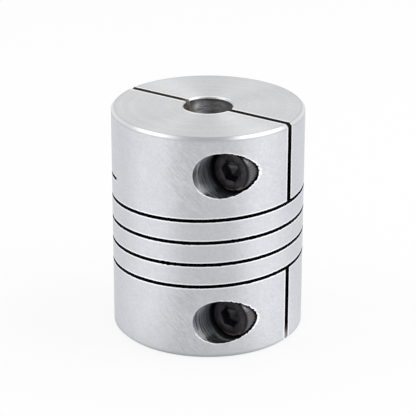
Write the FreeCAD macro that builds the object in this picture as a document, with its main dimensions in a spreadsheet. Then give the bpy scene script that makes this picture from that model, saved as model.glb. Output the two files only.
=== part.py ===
import FreeCAD, Part
import Sketcher
import math
import os

# One-piece flexible shaft coupling with a clamping hub at each end, in millimetres.
# A turned aluminium bar is bored right through for the two shafts. One long helical slit, cut
# through to the bore, leaves a spring-like beam between the hubs. A saw slot splits each hub on
# the +X side, and a socket-head screw across the slot draws the hub tight on its shaft.
# +Z runs along the bore, and the origin is the centre of the lower end face.

DRIVING_SIZES = [
    ("outer_diameter", 25, "turned bar"),
    ("overall_length", 30, "end face to end face"),
    ("rim_chamfer", 0.35, "outer edge of each end face"),
    ("bore_diameter", 6.35, "quarter-inch shafts"),
    ("mouth_chamfer", 0.2, "edge of the bore at each end face"),
    ("slit_pitch", 3, "axial distance between neighbouring turns"),
    ("slit_width", 0.45, "axial width of the slit"),
    ("slit_lines", 4, "times the slit crosses the line through both clamp slots"),
    ("slit_overrun", 235.4, "degrees that the slit runs on past each clamp slot"),
    ("slot_width", 0.75, "thickness of the slotting saw"),
    ("saw_radius", 20, "slotting saw, which leaves the slot's curved floor"),
    ("saw_stop", 5, "bore axis to where the saw's centre stops"),
    ("screw_edge_distance", 4.1, "outside of the bar to screw axis"),
    ("screw_inset", 5, "end face to screw axis"),
    ("seat_depth", 4.25, "middle of the slot to the seat under the screw head"),
    ("pocket_diameter", 5.9, "counterbore round the screw head"),
    ("clearance_diameter", 3.4, "screw hole on the head's side of the slot"),
    ("thread_clearance", 0.03, "room round the screw in its tapped hole, on the radius"),
    ("screw_diameter", 3, "shank"),
    ("screw_length", 12, "under the head"),
    ("tip_chamfer", 0.4, "free end of the shank"),
    ("head_diameter", 5.5, "screw head"),
    ("head_height", 3, "screw head"),
    ("head_chamfer", 0.35, "top edge of the head"),
    ("socket_width", 2.5, "hexagon, across the flats"),
    ("socket_depth", 1.6, "to the foot of the flats"),
    ("socket_drill_angle", 120, "degrees, drill point below the flats"),
    ("upper_socket_angle", 357, "degrees from +X to a corner of the upper hexagon"),
    ("lower_socket_angle", 352, "degrees from +X to a corner of the lower hexagon"),
    ("cut_overlap", 1, "how far a cut reaches past the surface that it opens"),
]
HEXAGON_SIDES = 6

# The slit is cut in equal sectors. A sector's wall is one patch through rows of points.
SECTOR_COUNT = 26
ROW_COUNT = 16
COLUMN_COUNT = 24

# The sketcher's own numbers for the points of a line, an arc or a circle, and for its axes.
START, END, CENTRE = range(1, 4)
HORIZONTAL_AXIS, VERTICAL_AXIS = range(-1, -3, -1)
ORIGIN = (HORIZONTAL_AXIS, START)

document = FreeCAD.newDocument("shaft_coupling")


def make_sizes():
    """Fill the sheet of driving sizes, one named cell each."""
    sheet = document.addObject("Spreadsheet::Sheet", "sizes")
    for row, (name, value, note) in enumerate(DRIVING_SIZES, start=1):
        sheet.set(f"A{row}", name)
        sheet.set(f"B{row}", str(value))
        sheet.set(f"C{row}", note)
        sheet.setAlias(f"B{row}", name)
    document.recompute()


def make_body(label):
    body = document.addObject("PartDesign::Body", label)
    body.Label = label
    return body


def origin_feature(body, role):
    for feature in body.Origin.OriginFeatures:
        if feature.Role == role:
            return feature
    raise ValueError(f"{body.Label} has no {role}")


def start_sketch(body, name, role):
    """Start a sketch on one of the body's own origin planes."""
    sketch = body.newObject("Sketcher::SketchObject", name)
    sketch.AttachmentSupport = [(origin_feature(body, role), "")]
    sketch.MapMode = "FlatFace"
    return sketch


def lift_sketch(sketch, height):
    """Move a sketch along the normal of its plane by a named height."""
    sketch.setExpression("AttachmentOffset.Base.z", height)


def named_value(sketch, expression):
    return float(sketch.evalExpression(expression))


def named_point(sketch, across, up):
    return FreeCAD.Vector(named_value(sketch, across), named_value(sketch, up), 0)


def bind(sketch, constraint, expression):
    """Add a constraint whose value follows the sheet."""
    index = sketch.addConstraint(constraint)
    sketch.setExpression(f"Constraints[{index}]", expression)


def join_points(sketch, first, second):
    sketch.addConstraint(Sketcher.Constraint("Coincident", *first, *second))


def hold_across(sketch, point, across):
    """Hold a point on the vertical axis, or at a named distance from it."""
    if across == "0":
        sketch.addConstraint(Sketcher.Constraint("PointOnObject", *point, VERTICAL_AXIS))
    else:
        here = sketch.getPoint(*point)
        bind(sketch, Sketcher.Constraint("DistanceX", *ORIGIN, *point, here.x), across)


def hold_up(sketch, point, up):
    """Hold a point on the horizontal axis, or at a named distance from it."""
    if up == "0":
        sketch.addConstraint(Sketcher.Constraint("PointOnObject", *point, HORIZONTAL_AXIS))
    else:
        here = sketch.getPoint(*point)
        bind(sketch, Sketcher.Constraint("DistanceY", *ORIGIN, *point, here.y), up)


def draw_circle(sketch, diameter, across="0", up="0"):
    centre = named_point(sketch, across, up)
    radius = named_value(sketch, diameter) / 2
    circle = sketch.addGeometry(Part.Circle(centre, FreeCAD.Vector(0, 0, 1), radius))
    hold_across(sketch, (circle, CENTRE), across)
    hold_up(sketch, (circle, CENTRE), up)
    bind(sketch, Sketcher.Constraint("Diameter", circle, 2 * radius), diameter)


def draw_polygon(sketch, corners):
    """Draw a closed outline of straight lines. Each corner is a pair of expressions."""
    points = [named_point(sketch, across, up) for across, up in corners]
    following = points[1:] + points[:1]
    lines = [
        sketch.addGeometry(Part.LineSegment(here, there))
        for here, there in zip(points, following)
    ]
    for line, next_line in zip(lines, lines[1:] + lines[:1]):
        join_points(sketch, (line, END), (next_line, START))
    for line, (across, up) in zip(lines, corners):
        hold_across(sketch, (line, START), across)
        hold_up(sketch, (line, START), up)


def cut_pocket(body, sketch, depth=None, along_normal=False, both_ways=False):
    """Cut a sketch's shape out of the body, to a named depth or else through everything."""
    pocket = body.newObject("PartDesign::Pocket", f"{sketch.Name}_cut")
    pocket.Profile = sketch
    pocket.Reversed = along_normal
    pocket.Midplane = both_ways
    if depth:
        pocket.setExpression("Length", depth)
    else:
        pocket.Type = "ThroughAll"
    document.recompute()
    return pocket


def chamfer_edges(body, name, feature, diameter, size):
    """Break every circular edge of one diameter."""
    radius = named_value(feature, diameter) / 2
    edges = [
        f"Edge{number}"
        for number, edge in enumerate(feature.Shape.Edges, start=1)
        if isinstance(edge.Curve, Part.Circle) and math.isclose(edge.Curve.Radius, radius)
    ]
    chamfer = body.newObject("PartDesign::Chamfer", name)
    chamfer.Base = (feature, edges)
    chamfer.setExpression("Size", size)
    document.recompute()
    return chamfer


def turn_bar(body):
    """Turn and bore the bar, and break its edges at both end faces."""
    outline = start_sketch(body, "bar", "XY_Plane")
    draw_circle(outline, "sizes.outer_diameter")
    bar = body.newObject("PartDesign::Pad", "bar_pad")
    bar.Profile = outline
    bar.Midplane = True
    bar.setExpression("Length", "sizes.overall_length")
    bore = start_sketch(body, "bore", "XY_Plane")
    draw_circle(bore, "sizes.bore_diameter")
    bored = cut_pocket(body, bore, both_ways=True)
    rims = chamfer_edges(body, "rims", bored, "sizes.outer_diameter", "sizes.rim_chamfer")
    chamfer_edges(body, "mouths", rims, "sizes.bore_diameter", "sizes.mouth_chamfer")


def named_size(name):
    return float(document.getObject("sizes").get(name))


def lay_wall_patch(pitch, half_sector, inside, outside):
    """Lay one sector of a right-handed screw surface over a straight grid, about +X.

    Laid like this it needs far fewer facets than a surface that is swept round the axis.
    """
    nearest = inside * math.cos(half_sector)
    half_span = outside * math.sin(half_sector)
    rows = []
    for row in range(ROW_COUNT + 1):
        x = nearest * (outside / nearest) ** (row / ROW_COUNT)
        points = []
        for column in range(COLUMN_COUNT + 1):
            y = half_span * (2 * column / COLUMN_COUNT - 1)
            points.append(FreeCAD.Vector(x, y, pitch * math.atan2(y, x) / math.tau))
        rows.append(points)
    patch = Part.BSplineSurface()
    patch.interpolate(rows)
    return patch.toShape()


def make_slit_sector(half_sector):
    """Make one sector of the slit's cutter: a patch given the slit's width, cut to a ring."""
    pitch = named_size("slit_pitch")
    width = named_size("slit_width")
    overlap = named_size("cut_overlap")
    bore_radius = named_size("bore_diameter") / 2
    outer_radius = named_size("outer_diameter") / 2
    wall = lay_wall_patch(pitch, half_sector, bore_radius - overlap, outer_radius + overlap)
    wall.translate(FreeCAD.Vector(0, 0, -width / 2))
    slab = wall.extrude(FreeCAD.Vector(0, 0, width))
    ring_foot = FreeCAD.Vector(0, 0, -pitch / 2)
    upwards = FreeCAD.Vector(0, 0, 1)
    sweep = math.degrees(2 * half_sector)
    disc = Part.makeCylinder(outer_radius + overlap / 2, pitch, ring_foot, upwards, sweep)
    hole = Part.makeCylinder(bore_radius - overlap / 2, pitch, ring_foot, upwards)
    ring = disc.cut(hole)
    ring.rotate(FreeCAD.Vector(), upwards, -sweep / 2)
    return slab.common(ring)


def make_slit_cutter():
    """Wind equal sectors of the slit up the bore, from its lower end to its upper end."""
    pitch = named_size("slit_pitch")
    half_turns = (named_size("slit_lines") - 1) / 2 + named_size("slit_overrun") / 360
    sector_turns = 2 * half_turns / SECTOR_COUNT
    first_sector = make_slit_sector(math.pi * sector_turns)
    sectors = []
    for number in range(SECTOR_COUNT):
        turns = sector_turns * (number + 1 / 2) - half_turns
        sector = first_sector.copy()
        sector.rotate(FreeCAD.Vector(), FreeCAD.Vector(0, 0, 1), 180 + 360 * turns)
        sector.translate(FreeCAD.Vector(0, 0, pitch * turns))
        sectors.append(sector)
    cutter = document.addObject("Part::Feature", "slit_cutter")
    cutter.Shape = sectors[0].multiFuse(sectors[1:], 0.001)
    cutter.setExpression("Placement.Base.z", "sizes.overall_length / 2")
    return cutter


def saw_clamp_slot(body):
    """Saw the upper hub down to the slit: level under the saw's travel, curving up towards -X."""
    profile = start_sketch(body, "clamp_slot", "XZ_Plane")
    floor = "sizes.slit_pitch * (sizes.slit_lines - 1) / 2"
    above = "sizes.overall_length / 2 + sizes.cut_overlap"
    outside = "sizes.outer_diameter / 2 + sizes.cut_overlap"
    radius = named_value(profile, "sizes.saw_radius")
    lowest = named_point(profile, "sizes.saw_stop", floor)
    beyond_front = named_point(profile, outside, floor)
    above_front = named_point(profile, outside, above)
    saw_centre = lowest + FreeCAD.Vector(0, radius, 0)
    way_down = math.pi * 3 / 2
    way_out = way_down - math.acos((saw_centre.y - above_front.y) / radius)
    saw = Part.Circle(saw_centre, FreeCAD.Vector(0, 0, 1), radius)
    curve = profile.addGeometry(Part.ArcOfCircle(saw, way_out, way_down))
    top_left = profile.getPoint(curve, START)
    travel = profile.addGeometry(Part.LineSegment(lowest, beyond_front))
    front = profile.addGeometry(Part.LineSegment(beyond_front, above_front))
    top = profile.addGeometry(Part.LineSegment(above_front, top_left))
    join_points(profile, (curve, END), (travel, START))
    join_points(profile, (travel, END), (front, START))
    join_points(profile, (front, END), (top, START))
    join_points(profile, (top, END), (curve, START))
    hold_across(profile, (curve, CENTRE), "sizes.saw_stop")
    hold_up(profile, (curve, CENTRE), f"{floor} + sizes.saw_radius")
    hold_across(profile, (curve, END), "sizes.saw_stop")
    hold_up(profile, (curve, END), floor)
    hold_up(profile, (curve, START), above)
    hold_across(profile, (front, START), outside)
    hold_up(profile, (front, START), floor)
    hold_across(profile, (front, END), outside)
    hold_up(profile, (front, END), above)
    return cut_pocket(body, profile, depth="sizes.slot_width", both_ways=True)


def bore_screw_hole(body):
    """Counterbore the upper hub for the screw head, clear the near ear and tap the far one."""
    across = "sizes.outer_diameter / 2 - sizes.screw_edge_distance"
    up = "sizes.overall_length / 2 - sizes.screw_inset"
    head_pocket = start_sketch(body, "head_pocket", "XZ_Plane")
    lift_sketch(head_pocket, "sizes.seat_depth")
    draw_circle(head_pocket, "sizes.pocket_diameter", across, up)
    near_ear = start_sketch(body, "clearance_hole", "XZ_Plane")
    lift_sketch(near_ear, "sizes.seat_depth")
    draw_circle(near_ear, "sizes.clearance_diameter", across, up)
    far_ear = start_sketch(body, "tapped_hole", "XZ_Plane")
    draw_circle(far_ear, "sizes.screw_diameter + 2 * sizes.thread_clearance", across, up)
    return [
        cut_pocket(body, head_pocket, along_normal=True),
        cut_pocket(body, near_ear, depth="sizes.seat_depth"),
        cut_pocket(body, far_ear),
    ]


def make_coupling_body():
    """Make the coupling about its middle, and repeat the upper hub's cuts in the lower hub."""
    body = make_body("coupling_without_slit")
    turn_bar(body)
    hub_cuts = [saw_clamp_slot(body), *bore_screw_hole(body)]
    both_hubs = body.newObject("PartDesign::Mirrored", "both_hubs")
    both_hubs.Originals = hub_cuts
    both_hubs.MirrorPlane = (origin_feature(body, "XY_Plane"), [""])
    body.Tip = both_hubs
    body.setExpression("Placement.Base.z", "sizes.overall_length / 2")
    coupling = document.addObject("Part::Cut", "coupling_body")
    coupling.Base = body
    coupling.Tool = make_slit_cutter()
    return coupling


def turn_screw(body):
    """Turn the head and shank about the screw's own axis, with the seat at zero height."""
    half_section = start_sketch(body, f"{body.Label}_section", "XZ_Plane")
    head_radius = "sizes.head_diameter / 2"
    shank_radius = "sizes.screw_diameter / 2"
    draw_polygon(half_section, [
        ("0", "sizes.head_height"),
        (f"{head_radius} - sizes.head_chamfer", "sizes.head_height"),
        (head_radius, "sizes.head_height - sizes.head_chamfer"),
        (head_radius, "0"),
        (shank_radius, "0"),
        (shank_radius, "sizes.tip_chamfer - sizes.screw_length"),
        (f"{shank_radius} - sizes.tip_chamfer", "-sizes.screw_length"),
        ("0", "-sizes.screw_length"),
    ])
    turned = body.newObject("PartDesign::Revolution", f"{body.Label}_turned")
    turned.Profile = half_section
    turned.ReferenceAxis = (origin_feature(body, "Z_Axis"), [""])
    document.recompute()


def cut_socket(body, socket_angle):
    """Cut the hexagon socket and the drill point that its punch leaves at the bottom."""
    hexagon = start_sketch(body, f"{body.Label}_hexagon", "XY_Plane")
    lift_sketch(hexagon, "sizes.head_height")
    corner_radius = "sizes.socket_width / sqrt(3)"
    step = 360 / HEXAGON_SIDES
    corner_turns = [f"(sizes.{socket_angle} + {step * number})" for number in range(HEXAGON_SIDES)]
    draw_polygon(hexagon, [
        (f"{corner_radius} * cos{turn}", f"{corner_radius} * sin{turn}")
        for turn in corner_turns
    ])
    cut_pocket(body, hexagon, depth="sizes.socket_depth")
    drill_point = start_sketch(body, f"{body.Label}_drill_point", "XZ_Plane")
    floor = "sizes.head_height - sizes.socket_depth"
    drill_radius = "sizes.socket_width / 2"
    draw_polygon(drill_point, [
        ("0", floor),
        (drill_radius, floor),
        ("0", f"{floor} - {drill_radius} / tan(sizes.socket_drill_angle / 2)"),
    ])
    drilled = body.newObject("PartDesign::Groove", f"{body.Label}_drilled")
    drilled.Profile = drill_point
    drilled.ReferenceAxis = (origin_feature(body, "Z_Axis"), [""])
    body.Tip = drilled


def make_clamp_screw(label, socket_angle, height):
    """Make a socket-head screw and seat it in its pocket, with the head towards -Y."""
    body = make_body(label)
    turn_screw(body)
    cut_socket(body, socket_angle)
    body.Placement.Rotation = FreeCAD.Rotation(FreeCAD.Vector(1, 0, 0), 90)
    body.setExpression("Placement.Base.x", "sizes.outer_diameter / 2 - sizes.screw_edge_distance")
    body.setExpression("Placement.Base.y", "-sizes.seat_depth")
    body.setExpression("Placement.Base.z", height)
    return body


def check_objects():
    """Stop with a plain message if any step of the model failed."""
    for item in document.Objects:
        if {"Invalid", "Error"} & set(item.State):
            raise RuntimeError(f"{item.Label} failed: {item.State}")


def check_shape(piece):
    shape = piece.Shape
    if shape.isNull() or not shape.isValid() or len(shape.Solids) != 1:
        raise RuntimeError(f"{piece.Label} is not one valid solid")


make_sizes()
pieces = [
    make_coupling_body(),
    make_clamp_screw(
        "upper_clamp_screw", "upper_socket_angle", "sizes.overall_length - sizes.screw_inset"
    ),
    make_clamp_screw("lower_clamp_screw", "lower_socket_angle", "sizes.screw_inset"),
]
document.recompute()
check_objects()
os.makedirs("parts", exist_ok=True)
for piece in pieces:
    check_shape(piece)
    piece.Shape.exportStep(f"parts/{piece.Label}.step")
    print(piece.Label, "volume", round(piece.Shape.Volume, 2), "cubic mm")
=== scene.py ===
from math import atan2, cos, hypot, pi, radians, sin, sqrt

import bmesh
import bpy
from mathutils import Matrix, Vector


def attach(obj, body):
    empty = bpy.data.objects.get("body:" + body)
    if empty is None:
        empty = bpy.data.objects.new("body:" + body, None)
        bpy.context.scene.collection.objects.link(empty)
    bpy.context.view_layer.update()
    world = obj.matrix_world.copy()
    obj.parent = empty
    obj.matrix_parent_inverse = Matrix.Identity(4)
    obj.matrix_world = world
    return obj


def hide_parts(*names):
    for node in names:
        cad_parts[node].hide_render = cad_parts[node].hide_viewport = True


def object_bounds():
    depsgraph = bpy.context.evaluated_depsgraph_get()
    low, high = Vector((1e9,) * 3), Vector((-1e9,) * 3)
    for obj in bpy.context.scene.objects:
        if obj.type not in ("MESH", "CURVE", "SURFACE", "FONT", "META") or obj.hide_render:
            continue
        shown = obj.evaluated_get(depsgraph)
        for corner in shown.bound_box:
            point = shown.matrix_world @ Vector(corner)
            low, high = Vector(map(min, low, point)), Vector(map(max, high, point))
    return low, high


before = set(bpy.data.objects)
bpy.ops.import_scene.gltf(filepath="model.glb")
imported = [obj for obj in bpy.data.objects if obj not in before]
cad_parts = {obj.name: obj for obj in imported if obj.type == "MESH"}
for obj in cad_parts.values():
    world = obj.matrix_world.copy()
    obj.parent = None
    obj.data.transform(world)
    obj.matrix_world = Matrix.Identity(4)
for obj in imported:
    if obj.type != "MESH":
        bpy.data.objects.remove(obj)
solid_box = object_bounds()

scene = bpy.context.scene
MM = 0.001


# The camera.
# A long lens looks down on the upper end face, with the pockets of the two
# clamp screws towards it and the slots near the right-hand edge.

camera_azimuth = radians(34.8086)
camera_elevation = radians(22.3023)
camera_distance = 252.40 * MM
camera_roll = radians(0.1217)
camera_lens = 166.178

to_right = Vector((cos(camera_azimuth), sin(camera_azimuth), 0))
to_back = Vector((-sin(camera_azimuth), cos(camera_azimuth), 0))
to_camera = to_back * -cos(camera_elevation) + Vector((0, 0, sin(camera_elevation)))
to_top = to_camera.cross(to_right)

middle = Vector((0, 0, 15 * MM))
aim_above = 0.672
aim_beside = 0.0146
aim = middle + to_top * aim_above * MM + to_right * aim_beside * MM

camera_place = middle + to_camera * camera_distance
backwards = (camera_place - aim).normalized()
sideways = (to_right * cos(camera_roll) + to_top * sin(camera_roll)).normalized()
sideways = (sideways - backwards * sideways.dot(backwards)).normalized()
upwards = backwards.cross(sideways)

camera = bpy.data.objects.new("camera", bpy.data.cameras.new("camera"))
scene.collection.objects.link(camera)
turned = Matrix((sideways, upwards, backwards)).transposed().to_4x4()
camera.matrix_world = Matrix.Translation(camera_place) @ turned
camera.data.lens = camera_lens
camera.data.sensor_width = 36
camera.data.clip_start = 0.01
camera.data.clip_end = 10
scene.camera = camera


# The studio.
# A white floor that runs out into white surroundings, and a softbox high on each
# side. The room is darker behind the camera and overhead, most of all above it.


class Value:
    """A number in a node tree: sums on it add Math nodes."""

    def __init__(self, nodes, socket):
        self.nodes = nodes
        self.socket = socket

    def maths(self, operation, *others):
        sockets = dict(enumerate((self,) + others))
        return self.nodes.value("ShaderNodeMath", {"operation": operation}, sockets)

    def swapped(self, operation, other):
        return self.nodes.value("ShaderNodeMath", {"operation": operation}, {0: other, 1: self})

    def __add__(self, other):
        return self.maths("ADD", other)

    def __radd__(self, other):
        return self.swapped("ADD", other)

    def __sub__(self, other):
        return self.maths("SUBTRACT", other)

    def __rsub__(self, other):
        return self.swapped("SUBTRACT", other)

    def __mul__(self, other):
        return self.maths("MULTIPLY", other)

    def __rmul__(self, other):
        return self.swapped("MULTIPLY", other)

    def __truediv__(self, other):
        return self.maths("DIVIDE", other)

    def __abs__(self):
        return self.maths("ABSOLUTE")

    def __lt__(self, other):
        return self.maths("LESS_THAN", other)

    def __gt__(self, other):
        return self.maths("GREATER_THAN", other)

    def root(self):
        return self.maths("SQRT")

    def either(self, other):
        """The larger of two values, such as where one mark or another is."""
        return self.maths("MAXIMUM", other)

    def between(self, low, high):
        """0 below low, 1 above high, and a smooth step from one to the other."""
        return self.nodes.value("ShaderNodeMapRange", {"interpolation_type": "SMOOTHSTEP"},
                                {"Value": self, "From Min": low, "From Max": high})


class Nodes:
    """The node tree of one material, or of the surroundings."""

    def __init__(self, owner):
        owner.use_nodes = True
        self.tree = owner.node_tree
        self.tree.nodes.clear()

    def add(self, kind, settings=None, sockets=None):
        node = self.tree.nodes.new(kind)
        for name, setting in (settings or {}).items():
            if name == "stops":
                self.set_stops(node.color_ramp, setting)
            else:
                setattr(node, name, setting)
        for name, given in (sockets or {}).items():
            if isinstance(given, Value):
                self.tree.links.new(given.socket, node.inputs[name])
            elif isinstance(given, bpy.types.NodeSocket):
                self.tree.links.new(given, node.inputs[name])
            else:
                node.inputs[name].default_value = given
        return node

    def set_stops(self, ramp, stops):
        while len(ramp.elements) < len(stops):
            ramp.elements.new(0.5)
        for element, (place, colour) in zip(ramp.elements, stops):
            element.position = place
            element.color = colour

    def value(self, kind, settings=None, sockets=None, output=0):
        return Value(self, self.add(kind, settings, sockets).outputs[output])

    def dot(self, first, second):
        sockets = {0: first, 1: second}
        return self.value("ShaderNodeVectorMath", {"operation": "DOT_PRODUCT"}, sockets, "Value")


# How bright the studio is all round at the object's height, from straight behind it
# to straight towards the camera.
round_the_room = [(0.00, 0.95), (0.35, 0.97), (0.52, 1.13), (0.65, 1.20), (0.815, 1.22),
                  (0.905, 1.03), (0.955, 0.87), (1.00, 0.85)]


def studio_level(nodes, place):
    """The brightness that metal finds in the studio in the direction of a place."""
    level = nodes.add("ShaderNodeVectorMath", {"operation": "MULTIPLY"}, {0: place, 1: (1, 1, 0)})
    away = nodes.add("ShaderNodeVectorMath", {"operation": "NORMALIZE"}, {0: level.outputs[0]})
    towards_camera = nodes.dot(away.outputs[0], -to_back)
    towards_right = nodes.dot(away.outputs[0], to_right)
    stops = [(where, (bright, bright, bright, 1)) for where, bright in round_the_room]
    shade = nodes.value("ShaderNodeValToRGB", {"stops": stops}, {0: towards_camera * 0.5 + 0.5})
    return shade + towards_right * 0.02


def kinds_of_ray(nodes):
    """1 for what the camera sees directly, and 1 for what it sees in a reflection."""
    ray = nodes.add("ShaderNodeLightPath")
    seen = Value(nodes, ray.outputs["Is Camera Ray"])
    glossy = Value(nodes, ray.outputs["Is Glossy Ray"])
    mirrored = (glossy + Value(nodes, ray.outputs["Is Transmission Ray"])).between(0, 1)
    return seen, mirrored


room = bpy.data.worlds.new("room")
scene.world = room
nodes = Nodes(room)
seen, mirrored = kinds_of_ray(nodes)
direction = nodes.add("ShaderNodeTexCoord").outputs["Generated"]
height = nodes.value("ShaderNodeSeparateXYZ", None, {0: direction}, 2)
overhead = height.between(0.42, 0.72)
aside = abs(nodes.dot(direction, to_right)).between(0.10, 0.45)
over_camera = to_back * -sin(camera_elevation) + Vector((0, 0, cos(camera_elevation)))
unlit = nodes.dot(direction, over_camera).between(cos(radians(26)), cos(radians(15)))
eye_level = studio_level(nodes, direction)
overhead_level = 0.97 - aside * 0.24
room_level = (eye_level + overhead * (overhead_level - eye_level)) * (1 - unlit * 0.62)
matt_level = 0.85
level = seen + (1 - seen) * (mirrored * room_level + (1 - mirrored) * matt_level)
surroundings = nodes.add("ShaderNodeBackground", None, {"Color": level, "Strength": 1})
nodes.add("ShaderNodeOutputWorld", None, {"Surface": surroundings.outputs[0]})

floor_reach = 2.0
floor_drop = 0.02
floor_mesh = bpy.data.meshes.new("floor")
bm = bmesh.new()
bmesh.ops.create_grid(bm, x_segments=1, y_segments=1, size=floor_reach)
bmesh.ops.translate(bm, vec=(0, 0, -floor_drop * MM), verts=bm.verts)
bm.to_mesh(floor_mesh)
bm.free()
floor = bpy.data.objects.new("floor", floor_mesh)
scene.collection.objects.link(floor)

# To the camera the floor is white, with a faint shadow. Metal finds it as bright as the
# room beyond it, with painted shade close to the part, deepest on its left.
white_paper = bpy.data.materials.new("white_paper")
nodes = Nodes(white_paper)
seen, mirrored = kinds_of_ray(nodes)
place = nodes.add("ShaderNodeTexCoord").outputs["Object"]
paper = nodes.add("ShaderNodeBsdfDiffuse", None, {"Color": (0.9, 0.9, 0.9, 1)})
white = nodes.add("ShaderNodeEmission", None, {"Color": (1, 1, 1, 1), "Strength": 1})
flat = nodes.add("ShaderNodeVectorMath", {"operation": "MULTIPLY"}, {0: place, 1: (1, 1, 0)})
from_axis = nodes.value("ShaderNodeVectorMath", {"operation": "LENGTH"},
                        {0: flat.outputs[0]}, "Value")
from_object = (from_axis - solid_box[1][0]) * 1000
left_side = 1 - (nodes.dot(place, to_right) * 1000).between(-11, 1)
shaded = 0.5 + 0.5 * from_object.between(-0.6, 1.0)
shaded = shaded * (0.94 + 0.06 * from_object.between(0, 14))
shaded = shaded * (1 - left_side * 0.16 * (1 - from_object.between(0, 10)))
cool = nodes.add("ShaderNodeVectorMath", {"operation": "SCALE"},
                 {0: (0.97, 0.985, 1.04), "Scale": studio_level(nodes, place) * shaded})
graded = nodes.add("ShaderNodeEmission", None, {"Color": cool.outputs[0], "Strength": 1})
lit = nodes.add("ShaderNodeMixShader", None,
                {0: seen * 0.8, 1: paper.outputs[0], 2: white.outputs[0]})
finish = nodes.add("ShaderNodeMixShader", None,
                   {0: mirrored * 0.9, 1: lit.outputs[0], 2: graded.outputs[0]})
nodes.add("ShaderNodeOutputMaterial", None, {"Surface": finish.outputs[0]})
floor_mesh.materials.append(white_paper)


def add_softbox(name, right, back, up, distance, size, level):
    """A square softbox that faces the part, placed as it is seen from the camera's side."""
    away = (to_right * right + to_back * back + Vector((0, 0, up))).normalized()
    lamp = bpy.data.lights.new(name, "AREA")
    lamp.shape = "SQUARE"
    lamp.size = size
    lamp.energy = level * pi * size * size
    box = bpy.data.objects.new(name, lamp)
    turned = away.to_track_quat("Z", "Y").to_matrix().to_4x4()
    box.matrix_world = Matrix.Translation(middle + away * distance) @ turned
    scene.collection.objects.link(box)


add_softbox("softbox_left", -0.62, 0.00, 0.75, 0.36, 0.20, 1.22)
add_softbox("softbox_right", 0.62, -0.03, 0.79, 0.36, 0.25, 1.58)


# The coupling body: one piece of turned aluminium bar, bored, slotted, drilled
# and tapped, with a helical slit cut through its wall between the two hubs.
# Satin turned finish, with fine tool marks round the axis on every turned face.

outer_radius = 12.5
bore_radius = 3.175
mouth_radius = 3.375
body_length = 30.0
rim_chamfer = 0.35
screw_offset = 8.4
screw_heights = (25.0, 5.0)
seat_depth = 4.25
pocket_radius = 2.95
slit_pitch = 3.0
slit_turns = 3 + 2 * 235.4 / 360
slit_width = 0.45
slit_reach = 6.8
slot_width = 0.75
slot_start = 4.5
slit_lip_width = 0.20
slot_lip_width = 0.30
pocket_lip_width = 0.17
mouth_lip_width = 0.36
tapped_radius = 1.53
thread_pitch = 0.5
half_length = body_length / 2
hub_middle = screw_heights[0] - half_length

# A point that is as near to a face as this counts as on it.
skin = 0.02
wall_skin = 0.03

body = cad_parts["coupling_body"]
body_mesh = body.data.copy()
body_mesh.name = "turned_body"
bm = bmesh.new()
bm.from_mesh(body_mesh)
bmesh.ops.remove_doubles(bm, verts=bm.verts, dist=0.0005 * MM)
for face in bm.faces:
    face.smooth = True
for edge in bm.edges:
    if len(edge.link_faces) == 2:
        edge.smooth = edge.calc_face_angle(0) < radians(20)
bm.to_mesh(body_mesh)
bm.free()

# A turned face is as round as the lathe leaves it: each corner of a face on the
# outside or in the bore leans straight away from its wall.
leaning = []
for face in body_mesh.polygons:
    for index in face.loop_indices:
        corner = body_mesh.vertices[body_mesh.loops[index].vertex_index].co / MM
        lean = Vector(body_mesh.corner_normals[index].vector)
        radius = hypot(corner.x, corner.y)
        upright = abs(face.normal.z) < 0.1
        if radius > outer_radius - skin and upright and lean.dot(corner) > 0:
            across = Vector((corner.x, corner.y, 0)).normalized()
            if face.normal.dot(across) > 0.97:
                lean = across
        elif radius < bore_radius + skin and upright:
            across = Vector((-corner.x, -corner.y, 0)).normalized()
            if face.normal.dot(across) > 0.9:
                lean = across
        leaning.append(lean)
body_mesh.normals_split_custom_set(leaning)

turned_body = bpy.data.objects.new("turned_body", body_mesh)
scene.collection.objects.link(turned_body)

aluminium = bpy.data.materials.new("turned_aluminium")
nodes = Nodes(aluminium)
place = nodes.add("ShaderNodeTexCoord")
spot = nodes.add("ShaderNodeSeparateXYZ", None, {0: place.outputs["Object"]})
x = Value(nodes, spot.outputs[0]) * 1000
y = Value(nodes, spot.outputs[1]) * 1000
z = Value(nodes, spot.outputs[2]) * 1000
facing = nodes.add("ShaderNodeSeparateXYZ", None, {0: place.outputs["Normal"]})
facing_up = abs(Value(nodes, facing.outputs[2]))
radius = (x * x + y * y).root()
round_axis = y.maths("ARCTAN2", x) / (2 * pi)
half_height = z - half_length
from_middle = abs(half_height)
from_hub = from_middle - hub_middle
beside_screw = x - screw_offset
from_screw = (beside_screw * beside_screw + from_hub * from_hub).root()
below_screw = half_height.maths("SIGN") * hub_middle - half_height

inside = (radius < outer_radius - wall_skin) * (radius > bore_radius + wall_skin)
in_slit = inside * (facing_up > 0.8) * (from_middle < slit_reach)
in_slot = inside * (abs(y) < slot_width / 2 + 0.01) * (from_middle < half_length - skin)
in_hole = inside * (from_screw < pocket_radius + skin)
in_bore = radius < bore_radius + wall_skin
on_side = radius > outer_radius - wall_skin
on_end = from_middle > half_length - skin
head_side = y < 0


def noise(nodes, place, detail, roughness, scale=1.0):
    """Noise at a place that is given as three values."""
    vector = nodes.add("ShaderNodeCombineXYZ", None, dict(enumerate(place)))
    return nodes.value("ShaderNodeTexNoise", None, {
        "Vector": vector.outputs[0], "Scale": scale, "Detail": detail, "Roughness": roughness})


# Tool marks run round the axis: fine across the marks, long along them. The end mill's
# marks run round each pocket, one above the other.
marks = noise(nodes, (x * 0.10, y * 0.10, (radius + z) * 7), 5, 0.65)
rings = noise(nodes, (x * 0.05, y * 0.05, radius * 1.6), 3, 0.6)
mottle = noise(nodes, (x, y, z), 4, 0.8, scale=2.6)
cloud = noise(nodes, (x, y, z), 3, 0.6, scale=0.35)
mill_marks = noise(nodes, (x * 0.25, y * 3.2, z * 0.25), 4, 0.75)

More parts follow.
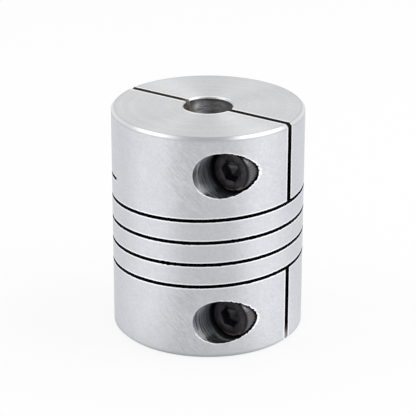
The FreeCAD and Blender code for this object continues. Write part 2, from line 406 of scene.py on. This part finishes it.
# The thread in the two holes that the screws are turned into.
round_hole = from_hub.maths("ARCTAN2", beside_screw) / (2 * pi)
in_thread = in_hole * (y > slot_width) * (from_screw < tapped_radius + 0.05)
thread = abs((y / thread_pitch + round_hole).maths("FRACT") - 0.5) * 2

# The slit is where a point has made a whole number of turns. Burrs make its edge ragged.
turn = half_height / slit_pitch
phase = turn - round_axis + 0.5
off_turn = phase - phase.maths("ROUND")
on_slit = abs(turn - off_turn) < slit_turns / 2
burrs = noise(nodes, (x, y, z), 2, 0.5, scale=2.2) - 0.5
from_slit = abs(off_turn) * slit_pitch + burrs * (0.06 + 0.30 * cloud.between(0.5, 0.7))
from_slot = abs(y) + burrs * 0.1
from_pocket = from_screw + burrs * 0.4
beside_slot = on_end.either(on_side * (x > 0) * (from_middle > slot_start))
# Painted shadow: the outer and end faces are painted black in a ragged line along the edges of the
# slit and the slots.
ragged_edge_shadow = on_side * on_slit * (from_slit < slit_width / 2 + 0.01)
ragged_edge_shadow = ragged_edge_shadow.either(beside_slot * (from_slot < slot_width / 2 + 0.05))
# Painted shadow: a black ragged line along the right-hand half of each pocket's edge.
pocket_edge_shadow = on_side * head_side * x.between(7, 9) * (from_pocket < pocket_radius + 0.03)
sawn_and_edge_shadow = in_slit.either(in_slot).either(ragged_edge_shadow)


def lip(distance, edge, width):
    """1 beside the edge of a cut, where a bright lip is painted,
    and 0 further from it than the lip is wide.
    """
    return 1 - distance.between(edge + width * 0.6, edge + width)


# The lips along the slit, the slots and the pockets are partly burnished edges and partly painted
# highlights, brightest on the pockets' right-hand and lower sides.
slit_lip_highlight = on_side * on_slit * lip(from_slit, slit_width / 2, slit_lip_width)
slot_lip_highlight = beside_slot * lip(from_slot, slot_width / 2, slot_lip_width + on_end * 0.12)
pocket_lip_highlight = (0.15 + 0.85 * x.between(6.5, 8.5)).either(below_screw.between(1.1, 1.8))
pocket_lip_highlight = pocket_lip_highlight * on_side * head_side
pocket_lip_highlight = pocket_lip_highlight * lip(from_pocket, pocket_radius, pocket_lip_width)

# A highlight is painted on the bore's mouth, on two opposite sides.
mouth_highlight_side = abs(x * 0.57 - y * 0.82)
mouth_highlight = on_end * lip(radius, mouth_radius, mouth_lip_width) * mouth_highlight_side.between(1.2, 2.8)
lip_highlights = slit_lip_highlight.either(slot_lip_highlight).either(pocket_lip_highlight).either(mouth_highlight)

# The chamfer's colour is painted a little brighter, with painted shade in two lines along it,
# and each face beside it ends in a line of painted shade.
to_rim = radius + from_middle - (outer_radius + half_length - rim_chamfer)
chamfered = to_rim.between(-0.06, -0.03)
chamfer_foot = half_length - outer_radius - rim_chamfer
up_chamfer = (from_middle - radius - chamfer_foot) / (2 * rim_chamfer)
chamfer_shade_lines = abs(up_chamfer - 0.5).between(0.30, 0.45)
rim_shade_line = to_rim.between(-0.26, -0.14) * (1 - chamfered)


def mix_colours(nodes, share, first, second, blend="MIX"):
    return nodes.add("ShaderNodeMix", {"data_type": "RGBA", "blend_type": blend},
                     {0: share, 6: first, 7: second}).outputs[2]


def broken_edges(nodes, width, samples):
    """Normals that round the edges off, and how far they lean from the plain ones."""
    rounded = nodes.add("ShaderNodeBevel", {"samples": samples}, {"Radius": width * MM}).outputs[0]
    plain = nodes.add("ShaderNodeNewGeometry").outputs["Normal"]
    return rounded, 1 - nodes.dot(rounded, plain)


# Every other edge is broken a little, and its colour is brighter there than the satin beside
# it: partly burnished metal, partly a painted highlight.
rounded, leaning_away = broken_edges(nodes, 0.07, 8)
on_edge = leaning_away.between(0.01, 0.20)

# The faces are satin, with rings on the ends. A slipped key has left scuffs round the pockets.
scuffs = noise(nodes, ((x + z) * 2.6, y * 1.2, (x - z) * 0.45), 4, 0.7)
satin = mix_colours(nodes, cloud.between(0.3, 0.7),
                    (0.70, 0.71, 0.72, 1), (0.735, 0.735, 0.75, 1))
flecks = mix_colours(nodes, mottle.between(0.3, 0.7), (0.89, 0.89, 0.89, 1), (1, 1, 1, 1))
satin = mix_colours(nodes, 1, satin, flecks, "MULTIPLY")
scuffed = mix_colours(nodes, scuffs.between(0.38, 0.62),
                      (0.80, 0.80, 0.80, 1), (1.10, 1.10, 1.10, 1))
scuffed = mix_colours(nodes, 1, satin, scuffed, "MULTIPLY")
near_pocket = on_side * head_side * (1 - from_screw.between(4.5, 8.5))
near_pocket = near_pocket * (1 - x.between(4, 8) * 0.7)
satin = mix_colours(nodes, 0.06 + near_pocket * 0.44, satin, scuffed)
ringed = on_end * rings.between(0.4, 0.7)
satin = mix_colours(nodes, ringed * 0.35, satin, (0.78, 0.78, 0.78, 1))
# Painted shade: a darker line on each face just beside the rim's chamfer.
satin = mix_colours(nodes, rim_shade_line * 0.5, satin, (0.52, 0.52, 0.53, 1))

# The reamer leaves streaks along the bore, painted in light and dark bands that are partly
# painted reflections, and broken up by short fine scores round it.
bore_streaks_and_reflections = [(0.00, (0.20, 0.18, 0.165, 1)), (0.22, (0.34, 0.34, 0.34, 1)),
                (0.31, (0.30, 0.30, 0.30, 1)), (0.38, (0.58, 0.58, 0.60, 1)),
                (0.425, (0.66, 0.69, 0.76, 1)), (0.46, (0.30, 0.26, 0.24, 1)),
                (0.60, (0.27, 0.23, 0.21, 1)), (0.80, (0.38, 0.36, 0.35, 1)),
                (1.00, (0.38, 0.37, 0.36, 1))]
round_bore = (round_axis + 1).maths("FRACT") + (cloud - 0.5) * 0.06
streaks_and_reflections = nodes.add("ShaderNodeValToRGB", {"stops": bore_streaks_and_reflections}, {0: round_bore})
scores = noise(nodes, (x * 0.9, y * 0.9, z * 6), 3, 0.6)
scored = mix_colours(nodes, scores.between(0.38, 0.62),
                     (0.64, 0.62, 0.61, 1), (1.15, 1.15, 1.16, 1))
bored = mix_colours(nodes, 1, streaks_and_reflections.outputs[0], scored, "MULTIPLY")
# Painted shade darkens the bore just below its mouth.
shade_under_mouth = from_middle.between(half_length - 0.8, half_length - 0.3)
bored = mix_colours(nodes, shade_under_mouth * 0.75, bored, (0.06, 0.06, 0.06, 1))

# The pockets' walls get darker towards the floor with painted shade, with a painted glint
# below the screw's head; their mill marks are painted as strong light and dark streaks,
# partly painted reflections.
pocket_depth_shade = y.between(-11.2, -8.2) * head_side
milled = mix_colours(nodes, mill_marks.between(0.35, 0.62),
                     (0.12, 0.125, 0.14, 1), (0.62, 0.65, 0.72, 1))
milled = mix_colours(nodes, pocket_depth_shade * 0.6375, milled, (0.05, 0.05, 0.055, 1))
painted_glint = below_screw.between(1.0, 1.8) * (1 - pocket_depth_shade).between(0.35, 0.75)
painted_glint = painted_glint * mill_marks.between(0.40, 0.54)
milled = mix_colours(nodes, painted_glint, milled, (1, 1, 1, 1))
# Painted shade darkens the lowest part of each pocket's wall.
lowest_wall_shade = below_screw.between(2.15, 2.6) * (1 - mill_marks.between(0.5, 0.6))
milled = mix_colours(nodes, lowest_wall_shade, milled, (0.03, 0.03, 0.032, 1))
# Painted shade makes the wall black beside and below the screw's head.
milled = mix_colours(nodes, y.between(-7.9, -7.2) * head_side, milled, (0.02, 0.02, 0.02, 1))
# The thread is painted dark in its grooves and light on its crests: painted shade and light.
thread_light_and_shade = mix_colours(nodes, thread, (0.03, 0.03, 0.032, 1), (0.70, 0.70, 0.71, 1))
milled = mix_colours(nodes, in_thread, milled, thread_light_and_shade)

# Painted shade makes the sawn walls black in the slit. In the slots painted light makes
# them lighter towards the end faces, most of all on the shallow side, beside the bore
# and just above the floor.
lit_open_end = from_middle.between(9, 15) * (1 - x.between(-9, 4) * 0.55)
cut_light_and_shade = mix_colours(nodes, lit_open_end, (0.006, 0.006, 0.006, 1), (0.13, 0.11, 0.09, 1))
cut_light_and_shade = mix_colours(nodes, 1 - z.between(0.6, 2.2), cut_light_and_shade, (0.95, 0.93, 0.91, 1))
lit_beside_bore = (1 - radius.between(3.4, 4.6)) * (x < 0) * from_middle.between(10.5, 13)
cut_light_and_shade = mix_colours(nodes, lit_beside_bore, cut_light_and_shade, (0.50, 0.47, 0.43, 1))

colour = mix_colours(nodes, in_bore, satin, bored)
colour = mix_colours(nodes, lip_highlights.either(on_edge * 0.8), colour, (0.97, 0.97, 0.98, 1))
bright = mix_colours(nodes, chamfer_shade_lines * 0.6, (0.75, 0.755, 0.76, 1), (0.57, 0.57, 0.58, 1))
colour = mix_colours(nodes, chamfered, colour, bright)
colour = mix_colours(nodes, in_hole, colour, milled)
colour = mix_colours(nodes, sawn_and_edge_shadow, colour, cut_light_and_shade)
colour = mix_colours(nodes, pocket_edge_shadow, colour, (0.01, 0.01, 0.01, 1))

relief = marks * 0.5 + mottle * 0.5
relief = relief + in_hole * (mill_marks - relief) + in_thread * thread * 10
bump = nodes.add("ShaderNodeBump", None,
                 {"Strength": 0.45, "Distance": 0.014 * MM, "Height": relief, "Normal": rounded})
roughness = 0.40 + marks * 0.08 - chamfered * 0.10 - lip_highlights * 0.12 + sawn_and_edge_shadow * 0.4 + in_bore * 0.2
metal = nodes.add("ShaderNodeBsdfPrincipled", None, {
    "Base Color": colour,
    "Metallic": 1 - in_hole * 0.45,
    "Roughness": roughness - painted_glint * in_hole * 0.2,
    "Anisotropic": 0.8,
    "Anisotropic Rotation": 0.25,
    "Normal": bump.outputs[0],
})
nodes.add("ShaderNodeOutputMaterial", None, {"Surface": metal.outputs[0]})
body_mesh.materials.clear()
body_mesh.materials.append(aluminium)

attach(turned_body, "root")
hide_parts("coupling_body")


# The clamp screws: two black-oxide M3 x 12 socket-head cap screws, with a
# knurled head, a broached hexagon and a rolled thread. Each sits in its pocket
# and closes one hub's slot; the thread holds in the far half of the hub.

head_radius = 2.73
head_height = 3.0
knurl_teeth = 48
knurl_depth = 0.05
socket_width = 2.5
socket_depth = 1.6
shank_radius = 1.5
thread_root = 1.21
screw_length = 12.0
head_top = seat_depth + head_height
face_radius = 1.62
underside_radius = 2.5
neck_radius = 1.3
head_edge = [(2.20, 0), (2.36, 0.02), (2.50, 0.07), (2.60, 0.11), (2.64, 0.10), (head_radius, 0.13)]
knurl_length = 2.35
socket_mouth = 0.15
socket_turns = (357, 352)

black_steel = bpy.data.materials.new("black_steel")
nodes = Nodes(black_steel)
place = nodes.add("ShaderNodeTexCoord")
spot = nodes.add("ShaderNodeSeparateXYZ", None, {0: place.outputs["Object"]})
across = Value(nodes, spot.outputs[0]) * 1000 - screw_offset
half_height = Value(nodes, spot.outputs[2]) * 1000 - half_length
upper = half_height > 0
along = half_height - half_height.maths("SIGN") * hub_middle
below_top = Value(nodes, spot.outputs[1]) * 1000 + head_top
from_axis = (across * across + along * along).root()
grain = nodes.value("ShaderNodeTexNoise", None, {
    "Vector": place.outputs["Object"], "Scale": 2500, "Detail": 4, "Roughness": 0.6})
patch = nodes.value("ShaderNodeTexNoise", None, {
    "Vector": place.outputs["Object"], "Scale": 700, "Detail": 3, "Roughness": 0.6})

# The oxide is rubbed thin on the knurl's crests and on the edges. Painted shade darkens the
# face's rounded edge; painted highlights light the top of the rim, a warm glint low on the rim
# and the socket's floor.
rounded, leaning_away = broken_edges(nodes, 0.06, 6)
rubbed = leaning_away.between(0.02, 0.25) * 0.7
worn_oxide = (0.13, 0.125, 0.125, 1)
oxide = mix_colours(nodes, patch.between(0.35, 0.7),
                    (0.022, 0.020, 0.024, 1), (0.048, 0.043, 0.046, 1))
oxide = mix_colours(nodes, rubbed * grain.between(0.35, 0.6), oxide, worn_oxide)
# Painted shade darkens the rounded edge of the head's face.
face_edge_shade = from_axis.between(2.38, 2.46) * (1 - from_axis.between(2.58, 2.64))
oxide = mix_colours(nodes, face_edge_shade, oxide, (0.012, 0.011, 0.012, 1))
on_crests = from_axis.between(head_radius - knurl_depth * 1.5, head_radius)
crests = (0.35 + 0.65 * on_crests) * from_axis.between(2.63, 2.67)
oxide = mix_colours(nodes, crests, oxide, worn_oxide)
# A highlight is painted on the top of the head's rim.
top_rim_highlight = from_axis.between(2.60, 2.64) * along.between(1.0, 1.8)
oxide = mix_colours(nodes, top_rim_highlight * 0.6, oxide, (0.40, 0.39, 0.39, 1))
# A warm glint is painted low on the head's rim.
painted_warm_glint = from_axis.between(2.30, 2.40) * (1 - from_axis.between(2.64, 2.69))
painted_warm_glint = painted_warm_glint * (1 - along.between(-2.2, -1.6)) * across.between(-1.2, -0.4)
painted_warm_glint = painted_warm_glint * patch.between(0.35, 0.5)
oxide = mix_colours(nodes, painted_warm_glint, oxide, (0.42, 0.37, 0.31, 1))
# A highlight is painted on the socket's floor, in its upper half, stronger in the upper screw.
socket_floor_highlight = below_top.between(socket_depth - 0.20, socket_depth - 0.05)
socket_floor_highlight = socket_floor_highlight * (1 - from_axis.between(1.36, 1.46))
socket_floor_highlight = socket_floor_highlight * (0.3 + 0.7 * upper) * along.between(-0.5, 0.1)
oxide = mix_colours(nodes, socket_floor_highlight, oxide, worn_oxide)
grained = nodes.add("ShaderNodeBump", None,
                    {"Strength": 0.4, "Distance": 0.01 * MM, "Height": grain, "Normal": rounded})
steel = nodes.add("ShaderNodeBsdfPrincipled", None, {
    "Base Color": oxide,
    "Metallic": 0.7,
    "Roughness": 0.30 + grain * 0.2 - rubbed * 0.06,
    "Normal": grained.outputs[0],
})
nodes.add("ShaderNodeOutputMaterial", None, {"Surface": steel.outputs[0]})


def ring_out(bm, edges, growth, drop):
    """Extrudes a ring of edges about the screw's axis and returns the new ring."""
    made = bmesh.ops.extrude_edge_only(bm, edges=edges)["geom"]
    verts = [item for item in made if isinstance(item, bmesh.types.BMVert)]
    bmesh.ops.scale(bm, vec=(growth, growth, 1), verts=verts)
    bmesh.ops.translate(bm, vec=(0, 0, -drop), verts=verts)
    return [item for item in made if isinstance(item, bmesh.types.BMEdge)]


def model_screw(name, socket_turn, height):
    bm = bmesh.new()

    # Hexagon socket, with a drilled point below it.
    corner = socket_width / sqrt(3)
    sides = 4 * knurl_teeth // 6
    hexagon = bmesh.ops.create_circle(bm, segments=6, radius=corner)["verts"]
    bmesh.ops.rotate(bm, matrix=Matrix.Rotation(radians(30), 3, "Z"), verts=hexagon)
    bmesh.ops.subdivide_edges(bm, edges=bm.edges[:], cuts=sides - 1)
    mouth = bm.edges[:]
    bmesh.ops.translate(bm, vec=(0, 0, -socket_mouth), verts=bm.verts)
    floor_ring = ring_out(bm, mouth, 1, socket_depth - socket_mouth)
    cone_ring = ring_out(bm, floor_ring, 0.86, 0.0)
    point = ring_out(bm, cone_ring, 0.02, 0.62)
    bmesh.ops.contextual_create(bm, geom=point)

    # Top of the head, its rounded edge, the knurled side and the underside.
    rim = bmesh.ops.create_circle(bm, segments=6 * sides, radius=face_radius)["verts"]
    edges = list({edge for vert in rim for edge in vert.link_edges})
    bmesh.ops.bridge_loops(bm, edges=mouth + edges)
    reached = face_radius
    for radius, drop in head_edge:
        edges = ring_out(bm, edges, radius / reached, drop)
        reached = radius
    knurl_top = edges
    knurl_foot = ring_out(bm, knurl_top, 1, knurl_length)
    shrink = 1 - knurl_depth / head_radius
    for vert in {vert for edge in knurl_top + knurl_foot for vert in edge.verts}:
        step = round(atan2(vert.co.y, vert.co.x) / (2 * pi) * 6 * sides)
        if step % 4 < 2:
            bmesh.ops.scale(bm, vec=(shrink, shrink, 1), verts=[vert])
    rest_of_head = head_height - knurl_length - sum(drop for radius, drop in head_edge)
    edges = ring_out(bm, knurl_foot, underside_radius / head_radius, rest_of_head)
    edges = ring_out(bm, edges, neck_radius / underside_radius, 0)

    # Rolled thread: the outline of one crest and one groove, wound down the shank.
    turn_steps = 36
    turns = int((screw_length - 0.6) / thread_pitch)
    start = -head_height - 0.05
    outline = [(thread_root, 0.0), (shank_radius, -0.19), (shank_radius, -0.25),
               (thread_root, -0.44), (thread_root, -thread_pitch)]
    corners = [bm.verts.new((r, 0, start + drop)) for r, drop in outline]
    strip = [bm.edges.new(pair) for pair in zip(corners, corners[1:])]
    bmesh.ops.spin(bm, geom=corners + strip, cent=(0, 0, 0), axis=(0, 0, 1),
                   dvec=(0, 0, -thread_pitch / turn_steps), angle=2 * pi * turns,
                   steps=turn_steps * turns, use_merge=False)
    bmesh.ops.remove_doubles(bm, verts=bm.verts, dist=0.0005)

    # The screw's plain tip, with a chamfer.
    tip_radius = 1.24
    tip_length = 0.45
    tip_chamfer = 0.25
    tip_ring = bmesh.ops.create_circle(bm, segments=turn_steps, radius=tip_radius)["verts"]
    edges = list({edge for vert in tip_ring for edge in vert.link_edges})
    tip_start = -head_height - screw_length + tip_length + tip_chamfer
    bmesh.ops.translate(bm, vec=(0, 0, tip_start), verts=tip_ring)
    edges = ring_out(bm, edges, 1, tip_length)
    edges = ring_out(bm, edges, 1.05 / tip_radius, tip_chamfer)
    bmesh.ops.contextual_create(bm, geom=edges)

    for face in bm.faces:
        face.smooth = True
    bmesh.ops.recalc_face_normals(bm, faces=bm.faces)
    for edge in bm.edges:
        if len(edge.link_faces) == 2:
            edge.smooth = edge.calc_face_angle(0) < radians(28)

    turn = Matrix.Rotation(radians(90), 4, "X") @ Matrix.Rotation(radians(socket_turn), 4, "Z")
    bmesh.ops.transform(bm, matrix=turn, verts=bm.verts)
    bmesh.ops.translate(bm, vec=(screw_offset, -head_top, height), verts=bm.verts)
    bmesh.ops.scale(bm, vec=(MM, MM, MM), verts=bm.verts)
    mesh = bpy.data.meshes.new(name)
    bm.to_mesh(mesh)
    bm.free()
    mesh.materials.append(black_steel)
    screw = bpy.data.objects.new(name, mesh)
    scene.collection.objects.link(screw)
    return screw


screw_nodes = ("upper_clamp_screw", "lower_clamp_screw")
for node, height, turn in zip(screw_nodes, screw_heights, socket_turns):
    screw = model_screw(node + "_detail", turn, height)
    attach(screw, "root")
    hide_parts(node)


scene.view_settings.view_transform = "Standard"
